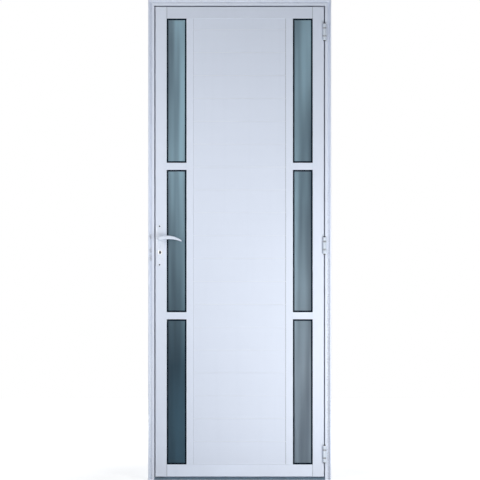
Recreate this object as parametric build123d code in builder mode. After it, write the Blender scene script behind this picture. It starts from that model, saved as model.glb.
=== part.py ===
from build123d import *
import math
import os

# A white aluminium door set: one leaf of tongue-and-groove slats between two glazed strips,
# hung on three hinges in a stepped frame. Millimetres, +Z up. The front faces -Y, the hinges
# are at +X. The origin is the middle of the threshold's underside.

os.makedirs("parts", exist_ok=True)

# Whole set
set_width = 800.0
set_height = 2100.0
frame_depth = 55.0

# Frame extrusion, measured inwards from the wall
frame_face = 27.0
frame_wall = 1.6
rim_width = 7.0
recess_width = 8.0
recess_depth = 7.0
stop_reach = 10.0
threshold_height = 10.0
threshold_wall = 2.0
threshold_bevel = 3.0
seal_width = 4.0
seal_bevel = 1.5
seal_play = 0.5

# Screw holes through each jamb, hidden by the closed leaf
screw_radius = 3.2
screw_pitch = 500.0
screw_count = 4
first_screw = 300.0
screw_back = 17.5

# Leaf extrusions
leaf_gap = 5.0
leaf_depth = 30.0
leaf_wall = 1.6
lip = 10.0
stile_face = 49.0
top_rail_face = 51.0
bottom_rail_face = 53.0
glass_strip = 86.5
inner_stile_face = 30.5
cross_rail_face = 31.0
lower_rail_middle = 718.0
upper_rail_middle = 1371.0
corner_ease = 0.6

# Glazing
glass_thick = 4.0
glass_bite = 7.0
gasket_depth = 10.0
gasket_show = 7.0
gasket_slope = 2.0
bead_wall = 1.2
seat = 0.3
snug = 0.1

# Slats
slat_pitch = 100.0
slat_depth = 16.0
slat_skin = 1.3
slat_bevel = 0.4
slat_cells = 1
groove_depth = 10.0

# Hinges: one near each end of the leaf, and one a little below halfway
bottom_hinge_rise = 100.0
top_hinge_drop = 111.0
middle_hinge_drop = 11.0
barrel_radius = 8.0
barrel_clear = 1.0
pin_radius = 4.0
pin_play = 0.08
end_knuckle = 18.5
middle_knuckle = 34.0
knuckle_gap = 1.0
wing_thick = 2.0
wing_depth = 24.0
neck_reach = 2.5

# Lock
backset = 20.0
lock_height = 1025.0
lock_centres = 60.0
case_depth = 34.0
case_height = 150.0
case_thick = 14.0
faceplate_thick = 2.5
faceplate_width = 20.0
faceplate_height = 176.0
latch_width = 12.0
latch_height = 18.0
latch_length = 12.0
latch_slope = 9.0
bolt_height = 30.0
bolt_length = 10.0
cylinder_radius = 8.5
cylinder_proud = 2.0
strike_flange = 1.2
strike_tab = 8.0

# Handle
plate_width = 37.0
plate_height = 186.0
plate_depth = 2.5
plate_corner = 12.0
boss_radius = 10.0
boss_depth = 5.0
neck_radius = 8.0
neck_play = 0.1
neck_bite = 6.0
spindle_size = 8.0
spindle_bite = 18.0
mortice_width = 20.0
follower_radius = 6.5

# Lever: it leaves the neck at a slant, arches over and runs down to a narrow tip
grip_stand = 45.0
grip_depth = 12.0
grip_root = 9.0
grip_slant = 17.0
grip_reach = 96.0
tip_fall = 10.5
tip_height = 7.0
tip_round = 3.4
grip_bevel = 3.2

# Planes that pieces share
front = -frame_depth / 2
back = frame_depth / 2
wall_x = set_width / 2
jamb_x = wall_x - frame_face
leaf_x = jamb_x - leaf_gap
leaf_foot = threshold_height + leaf_gap
leaf_head = set_height - frame_face - leaf_gap
leaf_back = front + leaf_depth
lip_back = front + leaf_wall
stop_front = leaf_back + leaf_gap
stop_edge = frame_face + stop_reach
stop_overlap = stop_reach - leaf_gap
strip_out = leaf_x - stile_face
strip_in = strip_out - glass_strip
panel_x = strip_in - inner_stile_face
panel_foot = leaf_foot + bottom_rail_face
panel_head = leaf_head - top_rail_face
leaf_middle = (front + leaf_back) / 2
lock_x = -leaf_x + backset
spindle_height = lock_height + lock_centres / 2
key_height = lock_height - lock_centres / 2
half_cross = cross_rail_face / 2
pane_limits = (
    ("lower", panel_foot, lower_rail_middle - half_cross),
    ("middle", lower_rail_middle + half_cross, upper_rail_middle - half_cross),
    ("upper", upper_rail_middle + half_cross, panel_head),
)
sides = (("left", -1), ("right", 1))


def finish(piece, name):
    """Labels a finished piece and writes it to its own file."""
    piece.part.label = name
    export_step(piece.part, f"parts/{name}.step")


def frame_section(place, depth_axis):
    """The frame's stepped hollow section. place(u, y) puts a point u inwards from the wall."""
    recess_floor = front + recess_depth
    recess_end = rim_width + recess_width
    wall = frame_wall
    Polygon(
        place(0, front), place(rim_width, front), place(rim_width, recess_floor),
        place(recess_end, recess_floor), place(recess_end, front), place(frame_face, front),
        place(frame_face, stop_front), place(stop_edge, stop_front), place(stop_edge, back),
        place(0, back), align=None,
    )
    chamfer(vertices().group_by(depth_axis)[0], length=corner_ease)
    Polygon(
        place(wall, front + wall), place(rim_width - wall, front + wall),
        place(rim_width - wall, recess_floor + wall), place(recess_end + wall, recess_floor + wall),
        place(recess_end + wall, front + wall), place(frame_face - wall, front + wall),
        place(frame_face - wall, stop_front), place(wall, stop_front),
        align=None, mode=Mode.SUBTRACT,
    )
    Polygon(
        place(wall, stop_front + wall), place(stop_edge - wall, stop_front + wall),
        place(stop_edge - wall, back - wall), place(wall, back - wall),
        align=None, mode=Mode.SUBTRACT,
    )


def mitre_plane(side):
    """The 45 degree plane of a top corner, facing the head."""
    return Plane(origin=(side * wall_x, 0, set_height), z_dir=(-side, 0, 1))


def jamb(side, name):
    """An upright of the frame, mitred at the top, with its screw holes."""
    with BuildPart() as upright:
        with BuildSketch(Plane.XY):
            frame_section(lambda u, y: (side * (wall_x - u), y), Axis.Y)
        extrude(amount=set_height)
        split(bisect_by=mitre_plane(side), keep=Keep.BOTTOM)
        with BuildSketch(Plane.YZ.offset(side * wall_x)):
            for number in range(screw_count):
                with Locations((front + screw_back, first_screw + number * screw_pitch)):
                    Circle(screw_radius)
        extrude(amount=-side * frame_face, mode=Mode.SUBTRACT)
        if side < 0:
            with BuildSketch(Plane.YZ.offset(-jamb_x)):
                with Locations((leaf_middle, lock_height)):
                    Rectangle(faceplate_width + 2 * seat, faceplate_height + 2 * seat)
            extrude(amount=-frame_wall, mode=Mode.SUBTRACT)
    finish(upright, name)


jamb(-1, "lock_jamb")
jamb(1, "hinge_jamb")

# Head: the same extrusion, mitred at both ends
with BuildPart() as head:
    with BuildSketch(Plane.YZ.offset(-wall_x)):
        frame_section(lambda u, y: (y, set_height - u), Axis.X)
    extrude(amount=set_width)
    for name, side in sides:
        split(bisect_by=mitre_plane(side), keep=Keep.TOP)
finish(head, "head")

# Threshold: a low hollow sill whose upstand carries the stop on across the foot
upstand_top = leaf_foot + stop_overlap
with BuildPart() as threshold:
    with BuildSketch(Plane.YZ.offset(-jamb_x)):
        wall = threshold_wall
        Polygon(
            (front, 0), (back, 0), (back, upstand_top), (stop_front, upstand_top),
            (stop_front, threshold_height), (front + threshold_bevel, threshold_height),
            (front, threshold_height - threshold_bevel), align=None,
        )
        Polygon(
            (front + wall, wall), (stop_front, wall), (stop_front, threshold_height - wall),
            (front + threshold_bevel + wall / 2, threshold_height - wall),
            (front + wall, threshold_height - threshold_bevel - wall / 2),
            align=None, mode=Mode.SUBTRACT,
        )
        Polygon(
            (stop_front + wall, wall), (back - wall, wall), (back - wall, upstand_top - wall),
            (stop_front + wall, upstand_top - wall), align=None, mode=Mode.SUBTRACT,
        )
    extrude(amount=2 * jamb_x)
    # Each end is notched round the jamb's stop
    for name, side in sides:
        with BuildSketch(Plane.XY):
            with Locations((side * jamb_x, stop_front)):
                Rectangle(2 * stop_reach, 2 * (back - stop_front))
        extrude(amount=upstand_top, mode=Mode.SUBTRACT)
finish(threshold, "threshold")

# Weather seal: a bulb on the stop that the closed leaf lies against
seal_inset = (stop_overlap - seal_width) / 2
seal_x = leaf_x - seal_inset
seal_foot = leaf_foot + seal_inset
seal_head = leaf_head - seal_inset
seal_middle = (seal_foot + seal_head) / 2
seal_tall = seal_head - seal_foot
with BuildPart() as weather_seal:
    with BuildSketch(Plane.XZ.offset(-stop_front)):
        with Locations((0, seal_middle)):
            Rectangle(2 * seal_x, seal_tall)
            Rectangle(2 * (seal_x - seal_width), seal_tall - 2 * seal_width, mode=Mode.SUBTRACT)
    extrude(amount=leaf_gap - seal_play)
    chamfer(faces().sort_by(Axis.Y)[0].edges(), length=seal_bevel)
    # Pressed in beside the handle plate, which reaches over it
    with BuildSketch(Plane.XZ.offset(-leaf_back)):
        with Locations((-leaf_x, lock_height)):
            Rectangle(2 * stop_overlap, plate_height + 2 * seal_width)
    extrude(amount=-(plate_depth + seal_play), mode=Mode.SUBTRACT)
finish(weather_seal, "weather_seal")


def lipped_section(face, place, depth_axis):
    """A hollow box with a glazing lip at the front. place(t, y) puts a point t from the outer edge."""
    box = face - lip
    Polygon(
        place(0, front), place(face, front), place(face, lip_back), place(box, lip_back),
        place(box, leaf_back), place(0, leaf_back), align=None,
    )
    chamfer(vertices().group_by(depth_axis)[0], length=corner_ease)
    Polygon(
        place(leaf_wall, lip_back), place(box - leaf_wall, lip_back),
        place(box - leaf_wall, leaf_back - leaf_wall), place(leaf_wall, leaf_back - leaf_wall),
        align=None, mode=Mode.SUBTRACT,
    )


def tee_section(face, place, depth_axis):
    """A hollow web with a lip each way at the front. place(t, y) puts a point t from the middle."""
    half_face = face / 2
    half_box = half_face - lip
    half_cell = half_box - leaf_wall
    Polygon(
        place(-half_face, front), place(half_face, front), place(half_face, lip_back),
        place(half_box, lip_back), place(half_box, leaf_back), place(-half_box, leaf_back),
        place(-half_box, lip_back), place(-half_face, lip_back), align=None,
    )
    chamfer(vertices().group_by(depth_axis)[0], length=corner_ease)
    Polygon(
        place(-half_cell, lip_back), place(half_cell, lip_back),
        place(half_cell, leaf_back - leaf_wall), place(-half_cell, leaf_back - leaf_wall),
        align=None, mode=Mode.SUBTRACT,
    )


# Outer stiles, full height; the lock stile is cut for the lock
for stile_name, side in (("lock_stile", -1), ("hinge_stile", 1)):
    with BuildPart() as stile:
        with BuildSketch(Plane.XY.offset(leaf_foot)):
            lipped_section(stile_face, lambda t, y: (side * (leaf_x - t), y), Axis.Y)
        extrude(amount=leaf_head - leaf_foot)
        if side < 0:
            with BuildSketch(Plane.YZ.offset(-leaf_x)):
                with Locations((leaf_middle, lock_height)):
                    Rectangle(faceplate_width + 2 * seat, faceplate_height + 2 * seat)
            extrude(amount=leaf_wall, mode=Mode.SUBTRACT)
            with BuildSketch(Plane.XZ.offset(-leaf_back)):
                with Locations((lock_x, spindle_height), (lock_x, key_height)):
                    Rectangle(mortice_width, mortice_width)
            extrude(amount=leaf_depth, mode=Mode.SUBTRACT)
    finish(stile, stile_name)


# Top and bottom rails butt between the lips of the stiles and run behind them to the boxes
def rail(face, place, name):
    with BuildPart() as bar:
        with BuildSketch(Plane.YZ.offset(-strip_out - lip)):
            lipped_section(face, place, Axis.X)
        extrude(amount=2 * (strip_out + lip))
        with BuildSketch(Plane.XZ.offset(-front)):
            with Locations((-strip_out - lip, set_height / 2), (strip_out + lip, set_height / 2)):
                Rectangle(2 * lip, set_height)
        extrude(amount=-leaf_wall, mode=Mode.SUBTRACT)
    finish(bar, name)


rail(top_rail_face, lambda t, y: (y, leaf_head - t), "top_rail")
rail(bottom_rail_face, lambda t, y: (y, leaf_foot + t), "bottom_rail")

# Inner stiles, between the glass strips and the slats
for side_name, side in sides:
    stile_middle = side * (panel_x + strip_in) / 2
    with BuildPart() as inner_stile:
        with BuildSketch(Plane.XY.offset(panel_foot - lip)):
            tee_section(inner_stile_face, lambda t, y: (stile_middle + t, y), Axis.Y)
        extrude(amount=panel_head - panel_foot + 2 * lip)
        with BuildSketch(Plane.XZ.offset(-front)):
            with Locations((stile_middle, panel_foot - lip), (stile_middle, panel_head + lip)):
                Rectangle(2 * inner_stile_face, 2 * lip)
        extrude(amount=-leaf_wall, mode=Mode.SUBTRACT)
    finish(inner_stile, f"{side_name}_inner_stile")

# Cross rails, across the glass strips only
for side_name, side in sides:
    strip_middle = side * (strip_in + strip_out) / 2
    half_strip = glass_strip / 2
    for level, height in (("lower", lower_rail_middle), ("upper", upper_rail_middle)):
        with BuildPart() as cross_rail:
            with BuildSketch(Plane.YZ.offset(strip_middle - half_strip - lip)):
                tee_section(cross_rail_face, lambda t, y: (y, height + t), Axis.X)
            extrude(amount=glass_strip + 2 * lip)
            with BuildSketch(Plane.XZ.offset(-front)):
                with Locations(
                    (strip_middle - half_strip - lip, height),
                    (strip_middle + half_strip + lip, height),
                ):
                    Rectangle(2 * lip, 2 * cross_rail_face)
            extrude(amount=-leaf_wall, mode=Mode.SUBTRACT)
        finish(cross_rail, f"{side_name}_{level}_cross_rail")

# Slats: hollow tongue-and-groove boards. Each tongue points down into the board below, and the
# lowest one into the bottom rail. The top board is cut to the height that is left.
slat_front = lip_back + seat
slat_back = slat_front + slat_depth
slat_half = panel_x + lip - seat
tongue_depth = groove_depth - seat
tongue_inset = slat_skin + seat
slat_count = int((panel_head - panel_foot) // slat_pitch) + 1
shoulder = seat / 2
slat_top = slat_pitch - shoulder
with BuildPart() as slats:
    with BuildSketch(Plane.YZ.offset(-slat_half)):
        board_feet = [(0, panel_foot + number * slat_pitch) for number in range(slat_count)]
        with Locations(*board_feet):
            Polygon(
                (slat_front + slat_bevel, shoulder), (slat_front, shoulder + slat_bevel),
                (slat_front, slat_top - slat_bevel), (slat_front + slat_bevel, slat_top),
                (slat_front + slat_skin, slat_top),
                (slat_front + slat_skin, slat_top - groove_depth),
                (slat_back - slat_skin, slat_top - groove_depth),
                (slat_back - slat_skin, slat_top),
                (slat_back - slat_bevel, slat_top), (slat_back, slat_top - slat_bevel),
                (slat_back, shoulder + slat_bevel), (slat_back - slat_bevel, shoulder),
                (slat_back - tongue_inset, shoulder),
                (slat_back - tongue_inset, shoulder - tongue_depth),
                (slat_front + tongue_inset, shoulder - tongue_depth),
                (slat_front + tongue_inset, shoulder), align=None,
            )
            # Cells between the skins, and one in the tongue
            cell_foot = shoulder + slat_skin
            cell_top = slat_top - groove_depth - slat_skin
            cell_pitch = (cell_top - cell_foot + slat_skin) / slat_cells
            cell_tall = cell_pitch - slat_skin
            slat_middle = (slat_front + slat_back) / 2
            lowest_cell = cell_foot + cell_tall / 2
            cell_middles = [(slat_middle, lowest_cell + cell * cell_pitch) for cell in range(slat_cells)]
            with Locations(*cell_middles):
                Rectangle(slat_depth - 2 * slat_skin, cell_tall, mode=Mode.SUBTRACT)
            with Locations((slat_middle, shoulder - (tongue_depth - slat_skin) / 2)):
                Rectangle(
                    slat_depth - 2 * (tongue_inset + slat_skin), tongue_depth - slat_skin,
                    mode=Mode.SUBTRACT,
                )
    extrude(amount=2 * slat_half)
    split(bisect_by=Plane.XY.offset(panel_head + lip - seat), keep=Keep.BOTTOM)
finish(slats, "slats")


def bead_sections(places, width, tall):
    """Two like hollow bead sections, one at each of the places."""
    with Locations(*places):
        Rectangle(width, tall)
        Rectangle(width - 2 * bead_wall, tall - 2 * bead_wall, mode=Mode.SUBTRACT)


def bead_ring(openings, bead_front, name):
    """Four hollow snap-in beads round each opening, the level ones running full width."""
    depth = leaf_back - bead_front
    middle_y = (leaf_back + bead_front) / 2
    with BuildPart() as beads:
        for left, right, foot, top in openings:
            with BuildSketch(Plane.YZ.offset(left - lip)):
                bead_sections(((middle_y, foot - lip / 2), (middle_y, top + lip / 2)), depth, lip)
            extrude(amount=right - left + 2 * lip)
            with BuildSketch(Plane.XY.offset(foot + seat)):
                bead_sections(((left - lip / 2, middle_y), (right + lip / 2, middle_y)), lip, depth)
            extrude(amount=top - foot - 2 * seat)
    finish(beads, name)


# Glass panes, each held at its edges in a black channel gasket, with beads behind
gasket_back = lip_back + gasket_depth
glass_front = lip_back + (gasket_depth - glass_thick) / 2
for side_name, side in sides:
    strip_left = min(side * strip_in, side * strip_out)
    strip_right = strip_left + glass_strip
    strip_middle = (strip_left + strip_right) / 2
    for level, foot, top in pane_limits:
        with BuildPart() as pane:
            with BuildSketch(Plane.XZ.offset(-glass_front)):
                with Locations((strip_middle, (foot + top) / 2)):
                    Rectangle(glass_strip + 2 * glass_bite, top - foot + 2 * glass_bite)
            extrude(amount=-glass_thick)
        finish(pane, f"{side_name}_{level}_glass")

    with BuildPart() as gaskets:
        for level, foot, top in pane_limits:
            tall = top - foot
            with BuildSketch(Plane.XZ.offset(-lip_back)):
                with Locations((strip_middle, (foot + top) / 2)):
                    Rectangle(glass_strip + 2 * (lip - seat), tall + 2 * (lip - seat))
            extrude(amount=-gasket_depth)
            with BuildSketch(Plane.XZ.offset(-lip_back)):
                with Locations((strip_middle, (foot + top) / 2)):
                    Rectangle(glass_strip - 2 * gasket_show, tall - 2 * gasket_show)
            extrude(amount=-gasket_depth, mode=Mode.SUBTRACT)
        front_faces = faces().filter_by(Axis.Y).group_by(Axis.Y)[0]
        sight_lines = [wire for face in front_faces for wire in face.inner_wires()]
        sight_edges = [edge for wire in sight_lines for edge in wire.edges()]
        chamfer(sight_edges, length=gasket_slope)
        for level, foot, top in pane_limits:
            tall = top - foot
            with BuildSketch(Plane.XZ.offset(-glass_front + snug)):
                with Locations((strip_middle, (foot + top) / 2)):
                    Rectangle(
                        glass_strip + 2 * (glass_bite + snug), tall + 2 * (glass_bite + snug)
                    )
            extrude(amount=-glass_thick - 2 * snug, mode=Mode.SUBTRACT)
    finish(gaskets, f"{side_name}_gaskets")

    strip_openings = [(strip_left, strip_right, foot, top) for level, foot, top in pane_limits]
    bead_ring(strip_openings, gasket_back + snug, f"{side_name}_glass_beads")

bead_ring([(-panel_x, panel_x, panel_foot, panel_head)], slat_back + seat, "slat_beads")

# Hinges: each frame half has the two outer knuckles and the pin, each leaf half the middle one
hinge_x = leaf_x + leaf_gap / 2
hinge_y = front - barrel_clear - barrel_radius
hinge_height = 2 * end_knuckle + 2 * knuckle_gap + middle_knuckle
bottom_hinge = leaf_foot + bottom_hinge_rise
top_hinge = leaf_head - top_hinge_drop
middle_hinge = (bottom_hinge + top_hinge) / 2 - middle_hinge_drop
hinge_feet = [middle - hinge_height / 2 for middle in (bottom_hinge, middle_hinge, top_hinge)]
wing_front = front + barrel_clear
neck_y = hinge_y + pin_radius + neck_reach / 2

with BuildPart() as frame_hinges:
    for hinge_foot in hinge_feet:
        for knuckle_foot in (hinge_foot, hinge_foot + hinge_height - end_knuckle):
            with BuildSketch(Plane.XY.offset(knuckle_foot)):
                with Locations((hinge_x, hinge_y)):
                    Circle(barrel_radius)
                with Locations((jamb_x - wing_thick / 2, (neck_y + wing_front) / 2)):
                    Rectangle(wing_thick, wing_front - neck_y)
            extrude(amount=end_knuckle)
        with BuildSketch(Plane.XY.offset(hinge_foot)):
            with Locations((hinge_x, hinge_y)):
                Circle(pin_radius)
            with Locations((jamb_x - wing_thick / 2, wing_front + wing_depth / 2)):
                Rectangle(wing_thick, wing_depth)
        extrude(amount=hinge_height)
finish(frame_hinges, "frame_hinges")

with BuildPart() as leaf_hinges:
    for hinge_foot in hinge_feet:
        with BuildSketch(Plane.XY.offset(hinge_foot + end_knuckle + knuckle_gap)):
            with Locations((hinge_x, hinge_y)):
                Circle(barrel_radius)
            with Locations((leaf_x + wing_thick / 2, (neck_y + wing_front) / 2)):
                Rectangle(wing_thick, wing_front - neck_y)
            with Locations((hinge_x, hinge_y)):
                Circle(pin_radius + pin_play, mode=Mode.SUBTRACT)
        extrude(amount=middle_knuckle)
        with BuildSketch(Plane.XY.offset(hinge_foot)):
            with Locations((leaf_x + wing_thick / 2, wing_front + wing_depth / 2)):
                Rectangle(wing_thick, wing_depth)
        extrude(amount=hinge_height)
finish(leaf_hinges, "leaf_hinges")

# Lock: a case in the lock stile behind its faceplate, with latch and deadbolt withdrawn
case_front = -leaf_x + faceplate_thick
windows = ((spindle_height, latch_height, latch_length), (key_height, bolt_height, bolt_length))

with BuildPart() as lock_faceplate:
    with BuildSketch(Plane.YZ.offset(-leaf_x)):
        with Locations((leaf_middle, lock_height)):
            Rectangle(faceplate_width, faceplate_height)
        for height, tall, length in windows:
            with Locations((leaf_middle, height)):
                Rectangle(latch_width, tall, mode=Mode.SUBTRACT)
    extrude(amount=faceplate_thick)
finish(lock_faceplate, "lock_faceplate")

with BuildPart() as lock_case:
    with BuildSketch(Plane.YZ.offset(case_front)):
        with Locations((leaf_middle, lock_height)):
            Rectangle(case_thick, case_height)
    extrude(amount=case_depth)
    for height, tall, length in windows:
        with BuildSketch(Plane.YZ.offset(case_front)):
            with Locations((leaf_middle, height)):
                Rectangle(latch_width, tall)
        extrude(amount=length - faceplate_thick, mode=Mode.SUBTRACT)
    with BuildSketch(Plane.XZ.offset(-leaf_back)):
        with Locations((lock_x, spindle_height)):
            Circle(follower_radius)
        with Locations((lock_x, key_height)):
            Circle(cylinder_radius + seat)
    extrude(amount=leaf_depth, mode=Mode.SUBTRACT)
finish(lock_case, "lock_case")

with BuildPart() as latch:
    with BuildSketch(Plane.YZ.offset(-leaf_x)):
        with Locations((leaf_middle, spindle_height)):
            Rectangle(latch_width - 2 * seat, latch_height - 2 * seat)
    extrude(amount=latch_length - seat)
    nose = edges().filter_by(Axis.Z).group_by(Axis.X)[0].sort_by(Axis.Y)[-1]
    chamfer(nose, length=latch_slope, length2=latch_slope / 2)
finish(latch, "latch")

with BuildPart() as deadbolt:
    with BuildSketch(Plane.YZ.offset(-leaf_x)):
        with Locations((leaf_middle, key_height)):
            Rectangle(latch_width - 2 * seat, bolt_height - 2 * seat)
    extrude(amount=bolt_length - seat)
finish(deadbolt, "deadbolt")

with BuildPart() as lock_cylinder:
    with BuildSketch(Plane.XZ.offset(-front + plate_depth + cylinder_proud)):
        with Locations((lock_x, key_height)):
            Circle(cylinder_radius)
    extrude(amount=-(leaf_depth + 2 * (plate_depth + cylinder_proud)))
finish(lock_cylinder, "lock_cylinder")

# Strike plate, flush in the lock jamb, with a tab behind the wall at each end
with BuildPart() as strike_plate:
    with BuildSketch(Plane.YZ.offset(-jamb_x)):
        with Locations((leaf_middle, lock_height)):
            Rectangle(faceplate_width, faceplate_height)
    extrude(amount=-frame_wall)
    with BuildSketch(Plane.YZ.offset(-jamb_x - frame_wall)):
        with Locations((leaf_middle, lock_height)):
            Rectangle(faceplate_width, faceplate_height + 2 * strike_tab)
    extrude(amount=-strike_flange)
    with BuildSketch(Plane.YZ.offset(-jamb_x)):
        for height, tall, length in windows:
            with Locations((leaf_middle, height)):
                Rectangle(latch_width, tall)
    extrude(amount=-(frame_wall + strike_flange), mode=Mode.SUBTRACT)
finish(strike_plate, "strike_plate")


# Handle plates and levers are alike on both faces; facing is -1 at the front and 1 at the back
def handle_plate(face_y, facing, name):
    plate_plane = Plane(origin=(0, face_y, 0), x_dir=(1, 0, 0), z_dir=(0, -1, 0))
    outward = -facing
    with BuildPart() as plate:
        with BuildSketch(plate_plane):
            with Locations((lock_x, lock_height)):
                RectangleRounded(plate_width, plate_height, plate_corner)
        extrude(amount=outward * plate_depth)
        with BuildSketch(plate_plane.offset(outward * plate_depth)):
            with Locations((lock_x, spindle_height)):
                Circle(boss_radius)
        extrude(amount=outward * boss_depth)
        with BuildSketch(plate_plane):
            with Locations((lock_x, spindle_height)):
                Circle(neck_radius + neck_play)
            with Locations((lock_x, key_height)):
                Circle(cylinder_radius + seat)
        extrude(amount=outward * (plate_depth + boss_depth), mode=Mode.SUBTRACT)
    finish(plate, name)


def lever(face_y, facing, name):
    """A neck and a grip. Seen from the front, two arcs leave the grip's round root at a slant."""
    grip_y = face_y + facing * grip_stand
    neck_start = face_y + facing * (plate_depth + boss_depth - neck_bite)
    socket_end = neck_start + facing * spindle_bite
    neck_plane = Plane(origin=(0, neck_start, 0), x_dir=(1, 0, 0), z_dir=(0, -1, 0))
    grip_plane = Plane(origin=(lock_x, grip_y, spindle_height), x_dir=(1, 0, 0), z_dir=(0, -1, 0))
    lean_x = grip_root * math.sin(math.radians(grip_slant))
    lean_z = grip_root * math.cos(math.radians(grip_slant))
    tip_top = (grip_reach, tip_height / 2 - tip_fall)
    tip_foot = (grip_reach, -tip_height / 2 - tip_fall)
    with BuildPart() as handle:
        with BuildSketch(grip_plane.offset(-grip_depth / 2)):
            with BuildLine():
                ThreePointArc((lean_x, -lean_z), (-lean_z, -lean_x), (-lean_x, lean_z))
                TangentArc((-lean_x, lean_z), tip_top, tangent=(lean_z, lean_x))
                Line(tip_top, tip_foot)
                TangentArc((lean_x, -lean_z), tip_foot, tangent=(lean_z, lean_x))
            make_face()
            fillet(vertices().group_by(Axis.X)[-1], radius=tip_round)
        extrude(amount=grip_depth)
        chamfer(faces().sort_by(Axis.Y)[0 if facing < 0 else -1].edges(), length=grip_bevel)
        with BuildSketch(neck_plane):
            with Locations((lock_x, spindle_height)):
                Circle(neck_radius)
        extrude(amount=neck_start - grip_y)
        with BuildSketch(neck_plane):
            with Locations((lock_x, spindle_height)):
                Rectangle(spindle_size + 2 * snug, spindle_size + 2 * snug)
        extrude(amount=neck_start - socket_end, mode=Mode.SUBTRACT)
    finish(handle, name)


handle_plate(front, -1, "front_handle_plate")
handle_plate(leaf_back, 1, "back_handle_plate")
lever(front, -1, "front_lever")
lever(leaf_back, 1, "back_lever")

# Spindle: a square bar between the two levers
spindle_proud = plate_depth + boss_depth - neck_bite + spindle_bite - seat
with BuildPart() as spindle:
    with BuildSketch(Plane.XZ.offset(-front + spindle_proud)):
        with Locations((lock_x, spindle_height)):
            Rectangle(spindle_size, spindle_size)
    extrude(amount=-(leaf_depth + 2 * spindle_proud))
finish(spindle, "spindle")
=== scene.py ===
import math

import bmesh
import bpy
from mathutils import Euler, Matrix, Vector


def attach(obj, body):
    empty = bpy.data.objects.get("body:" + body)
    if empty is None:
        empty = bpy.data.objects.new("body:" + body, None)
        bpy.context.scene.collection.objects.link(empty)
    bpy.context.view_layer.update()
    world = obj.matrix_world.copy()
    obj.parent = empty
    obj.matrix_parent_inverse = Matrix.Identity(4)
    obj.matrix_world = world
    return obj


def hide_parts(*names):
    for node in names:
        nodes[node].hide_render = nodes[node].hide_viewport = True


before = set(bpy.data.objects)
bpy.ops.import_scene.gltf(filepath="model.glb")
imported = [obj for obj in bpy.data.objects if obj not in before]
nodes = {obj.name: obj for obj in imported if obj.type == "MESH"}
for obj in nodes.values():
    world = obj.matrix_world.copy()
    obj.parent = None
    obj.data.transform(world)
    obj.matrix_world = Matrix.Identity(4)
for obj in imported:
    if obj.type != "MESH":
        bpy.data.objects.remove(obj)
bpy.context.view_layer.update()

# Frame
# Two uprights and a head of one stepped, hollow aluminium extrusion, sawn at 45 degrees and screwed
# together at the corners. Powder coated white, with small grey marks in the recess beside the lock.
# The recess also carries painted light and painted shade: paler low on the lock upright and along
# the head, darker high on the lock upright and low on the hinge upright.
coat_white = (0.730, 0.784, 0.896, 1.0)
rain_grey = (0.86, 0.87, 0.88, 1.0)
dust_brown = (0.40, 0.37, 0.33, 1.0)
# grey for rubbed wear, and for painted shade in recesses and seams
rub_and_shade_grey = (0.23, 0.24, 0.26, 1.0)
# painted highlight: a pale white standing in for light in recesses and on slat joints
painted_highlight_white = (0.88, 0.92, 0.98, 1.0)
spot_y, spot_deep = -0.024, 0.030


def add(tree, kind, sockets=(), **settings):
    """Adds a node to a tree and fills its sockets, named or numbered, with values or links."""
    made = tree.nodes.new(kind)
    for name, value in settings.items():
        setattr(made, name, value)
    for key, value in dict(sockets).items():
        if isinstance(value, bpy.types.NodeSocket):
            tree.links.new(value, made.inputs[key])
        else:
            made.inputs[key].default_value = value
    return made


def blank(name):
    """A new material, its empty node tree, and where a point is on the whole door."""
    made = bpy.data.materials.new(name)
    made.use_nodes = True
    made.node_tree.nodes.clear()
    return made, made.node_tree, add(made.node_tree, "ShaderNodeTexCoord").outputs["Object"]


def surface(tree, sockets):
    """The shader itself, joined to the output."""
    shader = add(tree, "ShaderNodeBsdfPrincipled", sockets)
    add(tree, "ShaderNodeOutputMaterial", {"Surface": shader.outputs[0]})


def mottle(tree, place, scale, stretch=(1.0, 1.0, 1.0), detail=2.0, shift=(0.0, 0.0, 0.0)):
    """Cloudy unevenness. scale is how many blotches go in a metre, stretch a factor for each axis."""
    mapped = add(tree, "ShaderNodeMapping", {"Vector": place, "Scale": stretch, "Location": shift})
    cloud = add(tree, "ShaderNodeTexNoise", {
        "Vector": mapped.outputs[0], "Scale": scale, "Detail": detail, "Roughness": 0.55})
    return cloud.outputs[0]


def remap(tree, value, low, high, to_low=0.0, to_high=1.0):
    """Maps low to high onto to_low to to_high, and stops at the ends."""
    return add(tree, "ShaderNodeMapRange", {
        0: value, 1: low, 2: high, 3: to_low, 4: to_high}).outputs[0]


def reckon(tree, how, first, second=0.0):
    """One step of arithmetic."""
    return add(tree, "ShaderNodeMath", {0: first, 1: second}, operation=how).outputs[0]


def times(tree, first, second):
    """One value taken by another."""
    return reckon(tree, "MULTIPLY", first, second)


def away_from(tree, value, level):
    """How far a value lies from a level, either way."""
    return reckon(tree, "ABSOLUTE", reckon(tree, "SUBTRACT", value, level))


def blend(tree, share, first, second, how="MIX"):
    """Mixes two colours."""
    return add(tree, "ShaderNodeMix", {0: share, 6: first, 7: second},
               data_type="RGBA", blend_type=how).outputs[2]


def relief(tree, height, depth, strength=1.0, over=None):
    """A bump of a given depth in metres, laid over another one."""
    sockets = {"Height": height, "Distance": depth, "Strength": strength}
    if over is not None:
        sockets["Normal"] = over
    return add(tree, "ShaderNodeBump", sockets).outputs[0]


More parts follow.
